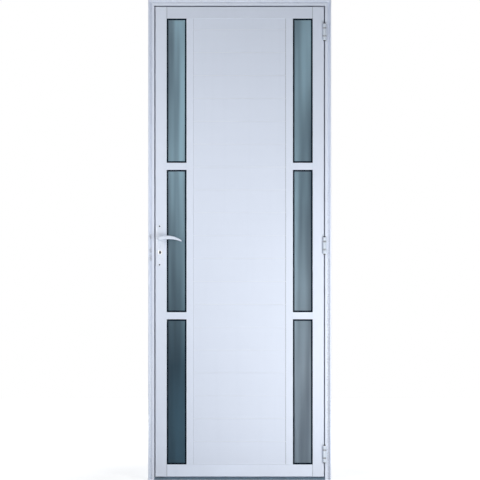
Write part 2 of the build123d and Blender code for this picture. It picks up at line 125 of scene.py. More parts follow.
def powder_coat(name, tone, along, seed, spots=(), seams=(), edges=()):
    """Satin powder coat over an extrusion that runs along one axis: orange peel, die lines, dust, and
    painted light and shade where asked.

    spots are grey marks and patches of painted shade and painted light on the front, as (x, z, half
    width, half height, depth, colour).
    seams are upright lines of painted shade where parts meet, as (x, half width, depth).
    edges are level lines of painted highlight along joints, as (first height, pitch, half width,
    depth).
    """
    made, tree, place = blank(name)
    die_stretch = tuple(0.02 if axis == along else 1.0 for axis in "XYZ")
    shift = (seed * 0.7, seed * 0.3, seed * 0.9)
    clouds = mottle(tree, place, 3.1, detail=3.0, shift=shift)
    drips = mottle(tree, place, 38.0, stretch=(1.0, 1.0, 0.035), detail=2.0, shift=shift)
    specks = mottle(tree, place, 240.0, detail=1.0, shift=shift)
    peel = mottle(tree, place, 620.0, detail=1.0)
    die_lines = mottle(tree, place, 330.0, stretch=die_stretch, detail=2.0)
    parts = add(tree, "ShaderNodeSeparateXYZ", {0: place})
    height = parts.outputs[2]

    colour = blend(tree, remap(tree, clouds, 0.35, 0.65, 0.0, 0.05), tone, rain_grey, "MULTIPLY")
    colour = blend(tree, remap(tree, drips, 0.52, 0.75, 0.0, 0.10), colour, rain_grey, "MULTIPLY")
    near_floor = remap(tree, height, 0.16, 0.0, 0.0, 0.10)
    colour = blend(tree, times(tree, near_floor, remap(tree, clouds, 0.3, 0.6)), colour, dust_brown)
    colour = blend(tree, remap(tree, specks, 0.70, 0.78, 0.0, 0.12), colour, dust_brown)
    # grey marks, painted shade and painted light on the front
    for spot_x, spot_z, half_width, half_height, depth, spot_colour in spots:
        spot = add(tree, "ShaderNodeMapping", {
            "Vector": place,
            "Location": (-spot_x / half_width, -spot_y / spot_deep, -spot_z / half_height),
            "Scale": (1 / half_width, 1 / spot_deep, 1 / half_height)}).outputs[0]
        away = add(tree, "ShaderNodeVectorMath", {0: spot}, operation="LENGTH").outputs["Value"]
        ragged = reckon(tree, "ADD", away, remap(tree, specks, 0.3, 0.7, -0.5, 0.5))
        colour = blend(tree, remap(tree, ragged, 0.2, 1.1, depth, 0.0), colour, spot_colour)
    # painted shade along the seams where parts meet
    for seam, half_width, depth in seams:
        away = away_from(tree, parts.outputs[0], seam)
        seam_shade = remap(tree, away, half_width, half_width * 0.4, 0.0, depth)
        colour = blend(tree, seam_shade, colour, rub_and_shade_grey)
    # painted highlight along level edges
    for first, pitch, half_width, depth in edges:
        away = reckon(tree, "PINGPONG", reckon(tree, "SUBTRACT", height, first), pitch / 2)
        edge_highlight = times(tree, remap(tree, away, half_width, half_width * 0.6, 0.0, depth),
                      remap(tree, clouds, 0.40, 0.60, 0.5, 1.0))
        colour = blend(tree, edge_highlight, colour, painted_highlight_white)
    gloss = remap(tree, clouds, 0.3, 0.7, 0.34, 0.44)
    bumps = relief(tree, peel, 0.00012, 0.6, relief(tree, die_lines, 0.00005, 0.5))
    surface(tree, {"Base Color": colour, "Roughness": gloss, "Normal": bumps})
    return made


def dress(material, *names):
    """Gives CAD nodes a finish."""
    for name in names:
        slots = nodes[name].data.materials
        for number in range(max(len(slots), 1)):
            if len(slots) > number:
                slots[number] = material
            else:
                slots.append(material)


def tone_of(share):
    """The coat's white, a shade darker or lighter."""
    return tuple(channel * share for channel in coat_white[:3]) + (1.0,)


lock_spots = (
    # small grey marks beside the lock
    (-0.3890, 1.063, 0.0070, 0.012, 0.50, rub_and_shade_grey),
    (-0.3890, 1.004, 0.0065, 0.015, 0.50, rub_and_shade_grey),
    (-0.3895, 0.971, 0.0065, 0.018, 0.55, rub_and_shade_grey),
    # painted light: a paler recess low on the lock upright
    (-0.3890, 0.350, 0.0070, 0.550, 0.90, painted_highlight_white),
    # painted shade: a darker recess high on the lock upright
    (-0.3890, 1.800, 0.0070, 0.500, 0.15, rub_and_shade_grey),
)
# painted shade: a darker recess low on the hinge upright
hinge_spots = ((0.3885, 0.40, 0.0070, 0.85, 0.45, rub_and_shade_grey),)
# painted light: a paler recess along the head
head_spots = ((0.0, 2.089, 1.0, 0.0060, 1.0, painted_highlight_white),)
dress(powder_coat("lock jamb coat", tone_of(1.0), "Z", 1, lock_spots), "lock_jamb")
dress(powder_coat("hinge jamb coat", tone_of(1.01), "Z", 2, hinge_spots), "hinge_jamb")
dress(powder_coat("head coat", tone_of(1.05), "X", 3, head_spots), "head")

# Frame screws
# Four countersunk zinc-plated screws fix each upright to the wall, through its inner wall. The
# closed leaf hides them.
screw_depth_y = -0.010
first_screw, screw_pitch, screw_count = 0.300, 0.500, 4
jamb_face = 0.373
recess_long, recess_wide, recess_up = 1.15, 0.24, 0.75


def plated_steel(name, tone, grime, share):
    """Dull zinc plate: fine crystals, a little grime."""
    made, tree, place = blank(name)
    crystals = mottle(tree, place, 900.0, detail=2.0)
    smears = mottle(tree, place, 55.0, detail=3.0)
    bright = tuple(min(1.0, channel * 1.35) for channel in tone[:3]) + (1.0,)
    colour = blend(tree, remap(tree, crystals, 0.4, 0.6, 0.0, 0.5), tone, bright)
    colour = blend(tree, remap(tree, smears, 0.45, 0.7, 0.0, share), colour, grime)
    gloss = remap(tree, smears, 0.3, 0.7, 0.30, 0.5)
    surface(tree, {
        "Base Color": colour, "Metallic": 1.0, "Roughness": gloss,
        "Normal": relief(tree, crystals, 0.00004, 0.5)})
    return made


zinc = plated_steel("zinc plate", (0.62, 0.63, 0.64, 1.0), rub_and_shade_grey, 0.35)
# near-black screw heads for the handle plates, much darker than the zinc
near_black_screw_steel = plated_steel("near-black screw steel", (0.030, 0.036, 0.045, 1.0),
                        (0.012, 0.012, 0.013, 1.0), 0.6)


def screw_nodes():
    """A domed head on every point, each turned its own way. Its cross recess is a share of its size."""
    tree = bpy.data.node_groups.new("screw heads", "GeometryNodeTree")
    for label, kind in (("Points", "NodeSocketGeometry"), ("Head Radius", "NodeSocketFloat"),
                        ("Head Height", "NodeSocketFloat"), ("Facing", "NodeSocketRotation"),
                        ("Seed", "NodeSocketInt"), ("Finish", "NodeSocketMaterial")):
        tree.interface.new_socket(name=label, in_out="INPUT", socket_type=kind)
    tree.interface.new_socket(name="Screws", in_out="OUTPUT", socket_type="NodeSocketGeometry")
    given = add(tree, "NodeGroupInput").outputs
    radius, height = given["Head Radius"], given["Head Height"]

    def sized(x, y, z):
        return add(tree, "ShaderNodeCombineXYZ", {0: x, 1: y, 2: z}).outputs[0]

    ball = add(tree, "GeometryNodeMeshUVSphere", {"Segments": 24, "Rings": 12, "Radius": 1.0})
    dome = add(tree, "GeometryNodeTransform", {
        "Geometry": ball.outputs[0], "Scale": sized(radius, radius, height)})
    block_size = times(tree, radius, 3.0)
    block = add(tree, "GeometryNodeMeshCube", {"Size": sized(block_size, block_size, height)})
    block_low = add(tree, "GeometryNodeTransform", {
        "Geometry": block.outputs[0], "Translation": sized(0.0, 0.0, times(tree, height, -0.5))})
    head = add(tree, "GeometryNodeMeshBoolean", {0: dome.outputs[0], 1: block_low.outputs[0]},
               operation="DIFFERENCE")
    for length, width in ((recess_long, recess_wide), (recess_wide, recess_long)):
        bar = add(tree, "GeometryNodeMeshCube", {
            "Size": sized(times(tree, radius, length), times(tree, radius, width), height)})
        lift = sized(0.0, 0.0, times(tree, height, recess_up))
        bar_up = add(tree, "GeometryNodeTransform", {"Geometry": bar.outputs[0], "Translation": lift})
        head = add(tree, "GeometryNodeMeshBoolean", {0: head.outputs[0], 1: bar_up.outputs[0]},
                   operation="DIFFERENCE")
    placed = add(tree, "GeometryNodeInstanceOnPoints", {
        "Points": given["Points"], "Instance": head.outputs[0], "Rotation": given["Facing"]})
    turn = add(tree, "FunctionNodeRandomValue", {2: 0.0, 3: math.tau, "Seed": given["Seed"]},
               data_type="FLOAT")
    turned = add(tree, "GeometryNodeRotateInstances", {
        "Instances": placed.outputs[0], "Rotation": sized(0.0, 0.0, turn.outputs[1]),
        "Local Space": True})
    real = add(tree, "GeometryNodeRealizeInstances", {"Geometry": turned.outputs[0]})
    painted = add(tree, "GeometryNodeSetMaterial", {
        "Geometry": real.outputs[0], "Material": given["Finish"]})
    add(tree, "NodeGroupOutput", {0: painted.outputs[0]})
    return tree


screw_tree = screw_nodes()
facing_turn = {
    "-X": (0.0, -math.pi / 2, 0.0), "+X": (0.0, math.pi / 2, 0.0),
    "-Y": (math.pi / 2, 0.0, 0.0), "+Y": (-math.pi / 2, 0.0, 0.0),
}


def stand(name, data):
    """An object in the scene that shows a mesh, a lamp or a camera."""
    made = bpy.data.objects.new(name, data)
    bpy.context.scene.collection.objects.link(made)
    return made


def put(name, mesh, body, replaced=()):
    """Hangs a finished mesh on its body and hides the CAD nodes that it replaces."""
    piece = stand(name, mesh)
    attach(piece, body)
    if replaced:
        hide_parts(*replaced)


def as_mesh(shape, name):
    """The shape that was built up, as a mesh."""
    mesh = bpy.data.meshes.new(name)
    shape.to_mesh(mesh)
    shape.free()
    return mesh


def plain_mesh(name, holder):
    """What an object's modifiers make of it, as a mesh of its own; the holder goes."""
    bpy.context.view_layer.update()
    evaluated = holder.evaluated_get(bpy.context.evaluated_depsgraph_get())
    mesh = bpy.data.meshes.new_from_object(evaluated)
    mesh.name = name
    bpy.data.objects.remove(holder)
    return mesh


def screws(name, places, radius, height, finish, seed):
    """Screw heads at each (point, facing), as one mesh."""
    whole = bmesh.new()
    for facing in sorted({facing for point, facing in places}):
        points = bpy.data.meshes.new(name)
        points.from_pydata([point for point, way in places if way == facing], [], [])
        holder = stand(name, points)
        grown = holder.modifiers.new("heads", "NODES")
        grown.node_group = screw_tree
        values = {"Head Radius": radius, "Head Height": height, "Seed": seed, "Finish": finish,
                  "Facing": Euler(facing_turn[facing])}
        for item in screw_tree.interface.items_tree:
            if item.item_type == "SOCKET" and item.name in values:
                grown[item.identifier] = values[item.name]
        whole.from_mesh(plain_mesh(name, holder))
    for face in whole.faces:
        face.material_index = 0
    mesh = as_mesh(whole, name)
    mesh.materials.append(finish)
    return mesh


frame_screw_places = []
for number in range(screw_count):
    level = first_screw + number * screw_pitch
    frame_screw_places += [((-jamb_face, screw_depth_y, level), "+X"),
                           ((jamb_face, screw_depth_y, level), "-X")]
put("frame_screws", screws("frame_screws", frame_screw_places, radius=0.0052, height=0.0005,
                           finish=zinc, seed=11), "frame")

# Threshold
# A low hollow sill between the uprights, left as bare aluminium in a dark blue-grey. Its top is
# painted paler, as painted light; its front edge is dull, and grit has scored it.
sill_dark, sill_pale = (0.060, 0.098, 0.145, 1.0), (0.095, 0.140, 0.198, 1.0)
sill_grit, sill_top_painted_light = (0.07, 0.08, 0.09, 1.0), (0.36, 0.47, 0.60, 1.0)
edge_top, top_light_level = 0.0080, 0.0098


def bare_aluminium(name):
    """Drawn aluminium, scored along its length, gritty, with painted light on its top."""
    made, tree, place = blank(name)
    brushed = mottle(tree, place, 700.0, stretch=(0.012, 1.0, 1.0), detail=3.0)
    scores = mottle(tree, place, 60.0, stretch=(1.0, 0.15, 1.0), detail=4.0)
    grit = mottle(tree, place, 34.0, detail=5.0)
    colour = blend(tree, remap(tree, brushed, 0.35, 0.65), sill_dark, sill_pale)
    colour = blend(tree, remap(tree, grit, 0.45, 0.7, 0.0, 0.55), colour, sill_grit)
    level = add(tree, "ShaderNodeSeparateXYZ", {0: place}).outputs[2]
    # painted light: the top turns paler than the front
    colour = blend(tree, remap(tree, level, edge_top, top_light_level), colour, sill_top_painted_light)
    gloss = remap(tree, scores, 0.3, 0.7, 0.32, 0.60)
    surface(tree, {
        "Base Color": colour, "Roughness": gloss, "Metallic": 0.30,
        "Normal": relief(tree, scores, 0.0001, 0.4, relief(tree, brushed, 0.00005, 0.6))})
    return made


dress(bare_aluminium("bare aluminium"), "threshold")

# Weather seal
# An extruded bulb seal of black rubber, pressed into the stop all round. The closed leaf lies
# against it.
bloom_grey, foot_blue_grey = (0.09, 0.09, 0.10, 1.0), (0.10, 0.14, 0.19, 1.0)
rubber_glint = (0.55, 0.78, 1.0, 1.0)
paling_top, paling_low = 0.030, 0.018


def black_rubber(name, tone, dust, shine, foot_paling=0.0):
    """Rubber with a grey bloom on it. The last argument says how strongly it turns a paler blue-grey
    just above the floor.
    """
    made, tree, place = blank(name)
    bloom = mottle(tree, place, 26.0, detail=4.0)
    skin = mottle(tree, place, 1300.0, detail=2.0)
    colour = blend(tree, remap(tree, bloom, 0.45, 0.75, 0.0, dust), tone, bloom_grey)
    level = add(tree, "ShaderNodeSeparateXYZ", {0: place}).outputs[2]
    # paler blue-grey just above the floor
    colour = blend(tree, remap(tree, level, paling_top, paling_low, 0.0, foot_paling), colour, foot_blue_grey)
    surface(tree, {
        "Base Color": colour, "Roughness": remap(tree, bloom, 0.3, 0.7, 0.48, 0.70),
        "Specular IOR Level": shine, "Specular Tint": rubber_glint,
        "Normal": relief(tree, skin, 0.00008, 0.5)})
    return made


dress(black_rubber("seal rubber", (0.010, 0.020, 0.038, 1.0), dust=0.15, shine=0.20,
                   foot_paling=0.75), "weather_seal")

# Strike plate
# A zinc-plated steel plate let flush into the lock jamb, held by a screw at each end.
plate_end = 0.079
lock_middle = 1.025
lock_line_y = -0.0125
dress(zinc, "strike_plate")
strike_screw_places = [((-jamb_face, lock_line_y, lock_middle + way * plate_end), "+X")
                       for way in (-1, 1)]
put("strike_screws", screws("strike_screws", strike_screw_places, radius=0.0034, height=0.0004,
                            finish=zinc, seed=5), "frame")

# Leaf frame
# Hollow white extrusions: two full-height outer stiles with the rails butted between them, and two
# inner stiles with short cross rails. Each length took the powder a shade differently.
dress(powder_coat("lock stile coat", tone_of(0.995), "Z", 4), "lock_stile")
dress(powder_coat("hinge stile coat", tone_of(0.985), "Z", 5), "hinge_stile")
dress(powder_coat("left inner stile coat", tone_of(0.99), "Z", 6), "left_inner_stile")
dress(powder_coat("right inner stile coat", tone_of(0.985), "Z", 7), "right_inner_stile")
# painted shade along the joints where the rails meet the outer stiles
rail_seams = ((-0.3185, 0.0016, 0.85), (0.3185, 0.0016, 0.85))
dress(powder_coat("top rail coat", tone_of(0.95), "X", 8, seams=rail_seams), "top_rail")
dress(powder_coat("bottom rail coat", tone_of(1.02), "X", 9, seams=rail_seams), "bottom_rail")
dress(powder_coat("cross rail coat", tone_of(1.0), "X", 11), "left_lower_cross_rail",
      "left_upper_cross_rail", "right_lower_cross_rail", "right_upper_cross_rail")

# Slats and beads
# Twenty hollow tongue-and-groove boards, each with its tongue down in the board below. Snap-in
# beads hold them and the glass from the back.
# painted shade where the slats meet the inner stiles, darker on the right
slat_seams = ((-0.2015, 0.0012, 0.40), (0.2012, 0.0016, 0.75))
# painted highlight along the joints between slats
slat_edges = ((0.068, 0.100, 0.0012, 0.75),)
dress(powder_coat("slat coat", tone_of(0.97), "X", 10, seams=slat_seams, edges=slat_edges),
      "slats")
dress(powder_coat("bead coat", tone_of(0.97), "X", 12), "slat_beads", "left_glass_beads",
      "right_glass_beads")

# Glass
# Six panes of grey-green obscured glass, finely rippled on both faces. Painted reflection and painted
# shade make each strip paler or darker across its width and up its height, in soft upright streaks;
# the left strip is darker towards the foot, as painted shade.
strip_out, strip_in = 0.319, 0.2325


def obscured_glass(name, deep, pale, levels, foot_tint):
    """levels are (height, how pale the strip is along its outer edge, and along its inner edge), as
    painted reflection and painted shade. foot_tint tints the foot, as painted shade.
    """
    made, tree, place = blank(name)
    parts = add(tree, "ShaderNodeSeparateXYZ", {0: place})
    off_middle = reckon(tree, "ABSOLUTE", parts.outputs[0])
    level = parts.outputs[2]
    streaks = mottle(tree, place, 34.0, stretch=(1.0, 1.0, 0.04), detail=1.0)
    waves = mottle(tree, place, 5.0, stretch=(1.0, 1.0, 0.6), detail=1.0)
    ripples = mottle(tree, place, 420.0, stretch=(1.0, 1.0, 0.25), detail=1.0)
    # painted reflection and painted shade: paler or darker across the strip, changing with height
    inward = remap(tree, off_middle, strip_out, strip_in, *levels[0][1:])
    for below, above in zip(levels, levels[1:]):
        upper = remap(tree, off_middle, strip_out, strip_in, *above[1:])
        rise = remap(tree, level, below[0], above[0])
        inward = add(tree, "ShaderNodeMix", {0: rise, 2: inward, 3: upper}).outputs[0]
    lightness = reckon(tree, "ADD", inward, remap(tree, streaks, 0.3, 0.7, -0.3, 0.3))
    lightness = add(tree, "ShaderNodeMath", {
        0: lightness, 1: remap(tree, waves, 0.3, 0.7, -0.15, 0.15)},
        operation="ADD", use_clamp=True).outputs[0]
    colour = blend(tree, lightness, deep, pale)
    # painted shade and tint towards the foot
    colour = blend(tree, remap(tree, level, 1.25, 0.50), colour, foot_tint, "MULTIPLY")
    surface(tree, {
        "Base Color": colour, "Roughness": remap(tree, ripples, 0.3, 0.7, 0.30, 0.42),
        "IOR": 1.3, "Transmission Weight": 0.55,
        "Normal": relief(tree, ripples, 0.0002, 0.3)})
    return made


left_painted_levels = ((0.12, 0.45, 1.70), (0.45, 0.0, 1.35), (1.18, 0.22, 0.80), (1.75, -0.10, 1.30))
dress(obscured_glass("left glass", (0.055, 0.085, 0.120, 1.0), (0.29, 0.44, 0.52, 1.0),
                     left_painted_levels, (0.12, 0.186, 0.228, 1.0)),
      "left_lower_glass", "left_middle_glass", "left_upper_glass")
right_painted_levels = ((0.15, 0.35, 0.45), (0.50, 0.85, 0.80), (0.90, 0.0, 0.90), (1.18, -0.15, 0.62),
                (1.75, 0.88, 0.38))
dress(obscured_glass("right glass", (0.070, 0.110, 0.145, 1.0), (0.25, 0.37, 0.44, 1.0),
                     right_painted_levels, (1.0, 0.86, 0.86, 1.0)),
      "right_lower_glass", "right_middle_glass", "right_upper_glass")

# Gaskets
# An extruded channel of black rubber, pushed over the edge of each pane before the pane goes in.
# Its sloped lip shows in front.
dress(black_rubber("gasket rubber", (0.003, 0.007, 0.014, 1.0), dust=0.06, shine=0.10),
      "left_gaskets", "right_gaskets")

# Hinges
# Three white butt hinges with their barrels proud of the front, two knuckles and the pin on the
# frame and one on the leaf, black nylon caps on the pin ends that also stand for the shade there,
# and oily grime with painted shade between the knuckles.
hinge_x, hinge_y = 0.3705, -0.0365
hinge_levels = (0.115, 1.025, 1.957)
knuckle_joints = (-0.0175, 0.0175)
hinge_half = 0.0365
hinge_paint, grime_and_shade_black = (0.68, 0.74, 0.82, 1.0), (0.13, 0.13, 0.14, 1.0)


def hinge_enamel(name):
    """White enamel with oily grime and painted shade where the knuckles meet."""
    made, tree, place = blank(name)
    level = add(tree, "ShaderNodeSeparateXYZ", {0: place}).outputs[2]
    smears = mottle(tree, place, 120.0, stretch=(1.0, 1.0, 0.3), detail=3.0)
    peel = mottle(tree, place, 700.0, detail=1.0)
    grime = 0.0
    # grime and painted shade either side of each knuckle joint
    for middle in hinge_levels:
        for joint in knuckle_joints:
            near = remap(tree, away_from(tree, level, middle + joint), 0.0055, 0.0008)
            grime = reckon(tree, "MAXIMUM", grime, near)
    share = times(tree, grime, remap(tree, smears, 0.35, 0.6, 0.25, 0.9))
    colour = blend(tree, share, hinge_paint, grime_and_shade_black)
    surface(tree, {
        "Base Color": colour, "Roughness": remap(tree, smears, 0.3, 0.7, 0.28, 0.45),
        "Normal": relief(tree, peel, 0.0001, 0.5)})
    return made


def eased(name, source, width, angle, material):
    """A copy of a CAD node with its doubles merged and its hard edges eased."""
    mesh = source.data.copy()
    mesh.name = name
    shape = bmesh.new()
    shape.from_mesh(mesh)
    bmesh.ops.remove_doubles(shape, verts=shape.verts, dist=1e-6)
    bmesh.ops.dissolve_limit(shape, angle_limit=math.radians(1.0),
                             verts=shape.verts, edges=shape.edges)
    hard = [edge for edge in shape.edges
            if len(edge.link_faces) == 2 and edge.calc_face_angle(0.0) > math.radians(angle)]
    bmesh.ops.bevel(shape, geom=hard, offset=width, segments=2, profile=0.6, affect="EDGES",
                    clamp_overlap=True)
    bmesh.ops.recalc_face_normals(shape, faces=shape.faces)
    shape.to_mesh(mesh)
    shape.free()
    mesh.materials.clear()
    mesh.materials.append(material)
    mesh.shade_smooth()
    mesh.set_sharp_from_angle(angle=math.radians(32.0))
    return mesh


hinge_white = hinge_enamel("hinge enamel")
for node_name, body in (("frame_hinges", "frame"), ("leaf_hinges", "leaf")):
    hinge_mesh = eased(f"{body}_hinge_leaves", nodes[node_name], width=0.0007, angle=40.0,
                       material=hinge_white)
    put(f"{body}_hinge_leaves", hinge_mesh, body, (node_name,))


def bridge(shape, loops):
    """Joins each loop of points to the next one with a band of faces."""
    for below, above in zip(loops, loops[1:]):
        for step in range(len(below)):
            after = (step + 1) % len(below)
            shape.faces.new((below[step], below[after], above[after], above[step]))


def turned(name, rings, centre, material, segments):
    """A lathe-turned piece: rings of (radius, height) about an upright axis, ends closed."""
    shape = bmesh.new()
    loops = []
    for radius, height in rings:
        turns = [math.tau * step / segments for step in range(segments)]
        loops.append([shape.verts.new((radius * math.cos(turn), radius * math.sin(turn), height))
                      for turn in turns])
    bridge(shape, loops)
    shape.faces.new(list(reversed(loops[0])))
    shape.faces.new(loops[-1])
    bmesh.ops.recalc_face_normals(shape, faces=shape.faces)
    shape.transform(Matrix.Translation(centre))
    mesh = as_mesh(shape, name)
    mesh.materials.append(material)
    mesh.shade_smooth()
    mesh.set_sharp_from_angle(angle=math.radians(40.0))
    return mesh


def joined(name, meshes):
    """Several meshes of one material as one."""
    whole = bmesh.new()
    for mesh in meshes:
        whole.from_mesh(mesh)
    mesh = as_mesh(whole, name)
    mesh.materials.append(meshes[0].materials[0])
    return mesh


# The black caps also stand for the shade at the barrel ends.
cap_radius, cap_height = 0.0052, 0.0036
cap_rings = ((cap_radius, 0.0), (cap_radius, cap_height * 0.6),
             (cap_radius * 0.9, cap_height * 0.85), (cap_radius * 0.6, cap_height))
nylon = black_rubber("black nylon", (0.012, 0.012, 0.013, 1.0), dust=0.15, shine=0.25)
cap_meshes = []
for middle in hinge_levels:
    for way in (-1, 1):
        foot = Vector((hinge_x, hinge_y, middle + way * hinge_half))
        rings = [(radius, way * height) for radius, height in cap_rings]
        cap_meshes.append(turned("cap", rings, foot, nylon, segments=24))
put("hinge_caps", joined("hinge_caps", cap_meshes), "frame")

# Hinge screws
# Three countersunk screws in each wing, seen only while the leaf stands open.
wing_screws = ((-0.024, -0.0185), (0.0, -0.0095), (0.024, -0.0185))
for body, wing_x, facing, seed in (("leaf", 0.370, "+X", 7), ("frame", 0.371, "-X", 8)):
    wing_places = [((wing_x, y, middle + rise), facing)
                   for middle in hinge_levels for rise, y in wing_screws]
    wing_mesh = screws(f"{body}_hinge_screws", wing_places, radius=0.0033, height=0.0003,
                       finish=zinc, seed=seed)
    put(f"{body}_hinge_screws", wing_mesh, body)

# Lock
# A mortice lock in the lock stile: a zinc-plated faceplate with its two screws, the sprung latch,
# the deadbolt and the steel case.
dress(zinc, "lock_faceplate", "lock_case", "latch", "deadbolt", "spindle")
leaf_edge = 0.368
faceplate_places = [((-leaf_edge, lock_line_y, lock_middle + way * plate_end), "-X")
                    for way in (-1, 1)]
put("faceplate_screws", screws("faceplate_screws", faceplate_places, radius=0.0034, height=0.0004,
                               finish=zinc, seed=6), "leaf")

# Lock cylinder
# A nickel-plated brass barrel through the leaf. Its rim is bright, and the plug sits back in a dark
# oval well with the key slot upright in it; the dark of well, plug and slot is painted shade.
lock_x, key_level = -0.348, 0.995
cylinder_radius = 0.0085
cylinder_front, cylinder_back = -0.032, 0.007
tarnish_brown = (0.10, 0.09, 0.08, 1.0)


def nickel(name, tone, dirt):
    """Turned metal, plated and tarnished in patches."""
    made, tree, place = blank(name)
    turning = mottle(tree, place, 1500.0, detail=1.0)
    tarnish = mottle(tree, place, 170.0, detail=3.0)
    colour = blend(tree, remap(tree, tarnish, 0.45, 0.7, 0.0, dirt), tone, tarnish_brown)
    gloss = remap(tree, tarnish, 0.3, 0.7, 0.22, 0.42)
    surface(tree, {
        "Base Color": colour, "Metallic": 1.0, "Roughness": gloss,
        "Normal": relief(tree, turning, 0.00002, 0.5)})
    return made


nickel_rim = nickel("nickel plate", (0.80, 0.79, 0.76, 1.0), 0.25)
# painted shade: the near-black of the well, the plug and the key slot
painted_shade_plug = nickel("dark plug", (0.020, 0.026, 0.042, 1.0), 0.4)
well_wide, well_tall, well_deep = 0.0044, 0.0058, 0.0032
rim_ease, rim_round = 0.0010, 0.0003
well_ease_wide, well_ease_tall, well_ease_deep = 0.0006, 0.0004, 0.0006
plug_inset = 0.0008
slot_wide, slot_deep, slot_tall = 0.0018, 0.008, 0.0082
round_segments = 40


def cylinder_end(face, way):
    """Rings out over the rim and down into the well, as (half width, half height, y)."""
    edge, top = cylinder_radius - rim_round, cylinder_radius - rim_ease
    return (
        (cylinder_radius, cylinder_radius, face - way * rim_ease),
        (edge, edge, face - way * rim_round),
        (top, top, face),
        (well_wide + well_ease_wide, well_tall + well_ease_tall, face),
        (well_wide, well_tall, face - way * well_ease_deep),
        (well_wide, well_tall, face - way * well_deep),
    )


def upright_loop(shape, x, y, z, wide, tall):
    """A round or oval loop of points about (x, y, z) that faces along Y."""
    turns = [math.tau * step / round_segments for step in range(round_segments)]
    return [shape.verts.new((x + wide * math.cos(turn), y, z + tall * math.sin(turn)))
            for turn in turns]


shape = bmesh.new()
rings = list(reversed(cylinder_end(cylinder_front, -1))) + list(cylinder_end(cylinder_back, 1))
loops = [upright_loop(shape, lock_x, y, key_level, wide, tall) for wide, tall, y in rings]
bridge(shape, loops)
wells = [shape.faces.new(loops[0]), shape.faces.new(loops[-1])]
bmesh.ops.recalc_face_normals(shape, faces=shape.faces)
# the well's floor and the plug take the painted-shade colour
for well in wells:
    plug = bmesh.ops.inset_individual(shape, faces=[well], thickness=plug_inset)["faces"]
    well.material_index = 1
    for face in plug:
        face.material_index = 1
hair = 1e-5
for face in shape.faces:
    if all(abs(vert.co.x - lock_x) <= well_wide + hair
           and abs(vert.co.z - key_level) <= well_tall + hair for vert in face.verts):
        face.material_index = 1
mesh = as_mesh(shape, "key_cylinder")
mesh.materials.append(nickel_rim)
mesh.materials.append(painted_shade_plug)
mesh.shade_smooth()
mesh.set_sharp_from_angle(angle=math.radians(35.0))
holder = stand("key_cylinder", mesh)
shape = bmesh.new()
for face, way in ((cylinder_front, -1), (cylinder_back, 1)):
    middle = face - way * well_deep
    bmesh.ops.create_cube(shape, size=1.0, matrix=Matrix.Translation((lock_x, middle, key_level))
                          @ Matrix.Diagonal((slot_wide, slot_deep, slot_tall, 1.0)))
slot_mesh = as_mesh(shape, "key slot")
slot_mesh.materials.append(painted_shade_plug)
cutter = stand("key slot", slot_mesh)
cut = holder.modifiers.new("slot", "BOOLEAN")
cut.object, cut.operation, cut.solver = cutter, "DIFFERENCE", "EXACT"
cylinder_mesh = plain_mesh("key_cylinder", holder)
bpy.data.objects.remove(cutter)
put("key_cylinder", cylinder_mesh, "leaf", ("lock_cylinder",))

# Handle plates
# A long white enamelled plate on each face, with a round boss for the lever. Two screws go through
# from the front plate into the back one.
plate_x, plate_front, plate_back = -0.350, -0.030, 0.005
plate_screw_rise = 0.084
enamel_shade = (0.62, 0.66, 0.72, 1.0)


def enamel(name, tone, wear):
    """Glossy white enamel, a little uneven, rubbed through to grey in specks."""
    made, tree, place = blank(name)
    clouds = mottle(tree, place, 60.0, detail=3.0)
    peel = mottle(tree, place, 500.0, detail=1.0)
    rubs = mottle(tree, place, 210.0, detail=3.0)
    colour = blend(tree, remap(tree, clouds, 0.4, 0.7, 0.0, 0.12), tone, enamel_shade)
    colour = blend(tree, remap(tree, rubs, 0.62, 0.72, 0.0, wear), colour, rub_and_shade_grey)
    surface(tree, {
        "Base Color": colour, "Roughness": remap(tree, clouds, 0.3, 0.7, 0.32, 0.44),
        "Coat Weight": 0.1, "Coat Roughness": 0.2,
        "Normal": relief(tree, peel, 0.0001, 0.35)})
    return made


plate_white = enamel("plate enamel", (0.74, 0.79, 0.89, 1.0), 0.25)
for side_name, face_name in (("front", "front_handle_plate"), ("back", "back_handle_plate")):
    plate_mesh = eased(f"{side_name}_plate", nodes[face_name], width=0.0008, angle=30.0,
                       material=plate_white)
    put(f"{side_name}_plate", plate_mesh, "leaf", (face_name,))
plate_screw_places = [((plate_x, y, lock_middle + way * plate_screw_rise), facing)
                      for y, facing in ((plate_front, "-Y"), (plate_back, "+Y")) for way in (-1, 1)]
put("plate_screws", screws("plate_screws", plate_screw_places, radius=0.0032, height=0.0011,
                           finish=near_black_screw_steel, seed=3), "leaf")

# Levers
# A cast lever on each face: the neck swells into a round root, and the grip leaves it at a slant,
# arches over and thins to its tip. Cast in one, ground smooth and enamelled white.
spindle_level = 1.055
leaf_front, leaf_back = -0.0275, 0.0025
grip_stand, neck_radius = 0.045, 0.008
root_radius, grip_slant = 0.009, math.radians(17.0)
grip_reach, tip_fall, tip_height = 0.096, 0.0105, 0.007
grip_half_deep, tip_half_thinner, tip_run = 0.0060, 0.0014, 0.0035
cast_grain = 0.0008


def arc_points(start, heading, end, count):
    """Points along the circle that leaves start along heading and passes through end."""
    across = Vector((-heading.y, heading.x))
    chord = end - start
    radius = chord.length_squared / (2 * chord.dot(across))
    centre = start + across * radius
    first = math.atan2(*reversed(start - centre))
    last = math.atan2(*reversed(end - centre))
    sweep = last - first
    while sweep > math.pi:
        sweep -= math.tau
    while sweep < -math.pi:
        sweep += math.tau
    return [centre + Vector((math.cos(first + sweep * step / count),
                             math.sin(first + sweep * step / count))) * abs(radius)
            for step in range(count + 1)]


def oval_ring(shape, middle, up, half_tall, half_deep, segments):
    """A full, slightly squared oval across the grip. middle and up are (x, z)."""
    ring = []
    for step in range(segments):
        turn = math.tau * step / segments
        side, rise = math.cos(turn), math.sin(turn)
        side = math.copysign(abs(side) ** 0.8, side)
        rise = math.copysign(abs(rise) ** 0.8, rise)
        ring.append(shape.verts.new((middle.x + up.x * rise * half_tall, side * half_deep,
                                     middle.y + up.y * rise * half_tall)))
    return ring


